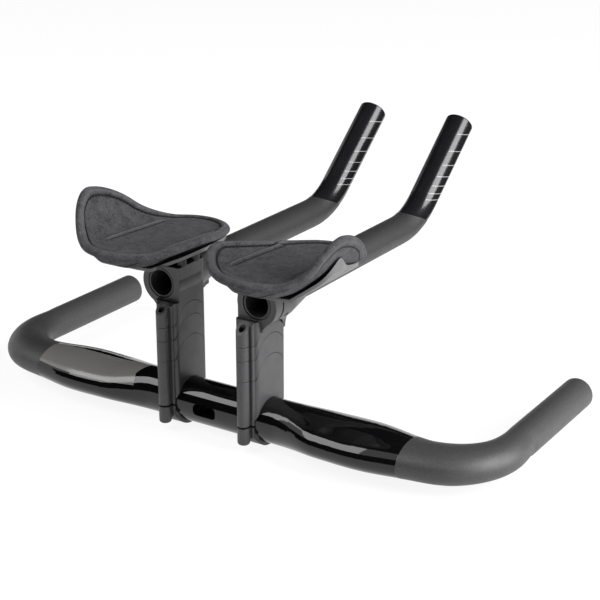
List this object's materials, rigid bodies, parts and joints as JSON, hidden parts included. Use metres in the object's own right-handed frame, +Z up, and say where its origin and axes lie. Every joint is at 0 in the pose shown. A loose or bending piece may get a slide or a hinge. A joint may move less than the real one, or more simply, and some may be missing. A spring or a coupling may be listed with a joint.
{
  "type": "aero handlebar",
  "caption": "Time-trial handlebar: flattened bullhorn base bar, stacked riser pylons, ski-bend extensions and dished forearm rests with fabric pads.",
  "frame": {"origin": "middle of the round zone where the stem clamps the base bar", "axes": "+X to the rider's right along the bar, +Y forward, +Z up"},
  "size_m": [0.4304, 0.3369, 0.177],
  "materials": {
    "bar_paint": "gloss black in the middle, matte on the bends and grips",
    "pylon_metal": "satin dark grey",
    "extension_paint": "matte straight run, gloss rising end",
    "shell_plastic": "satin moulded",
    "pad_fabric": "brushed knit over foam",
    "screw_steel": "blackened"
  },
  "bodies": {
    "root": {"base_bar": "bar_paint", "right_lower_cap": "pylon_metal", "left_lower_cap": "pylon_metal", "right_lower_bracket": "pylon_metal", "left_lower_bracket": "pylon_metal", "right_thick_spacer": "pylon_metal", "left_thick_spacer": "pylon_metal", "right_thin_spacer": "pylon_metal", "left_thin_spacer": "pylon_metal", "right_upper_bracket": "pylon_metal", "left_upper_bracket": "pylon_metal", "right_extension": "extension_paint", "left_extension": "extension_paint", "right_armrest_shell": "shell_plastic", "left_armrest_shell": "shell_plastic", "right_armrest_pad": "pad_fabric", "left_armrest_pad": "pad_fabric", "right_riser_bolts": "screw_steel", "left_riser_bolts": "screw_steel", "right_clamp_screw": "screw_steel", "left_clamp_screw": "screw_steel", "right_armrest_screws": "screw_steel", "left_armrest_screws": "screw_steel"}
  },
  "joints": []
}
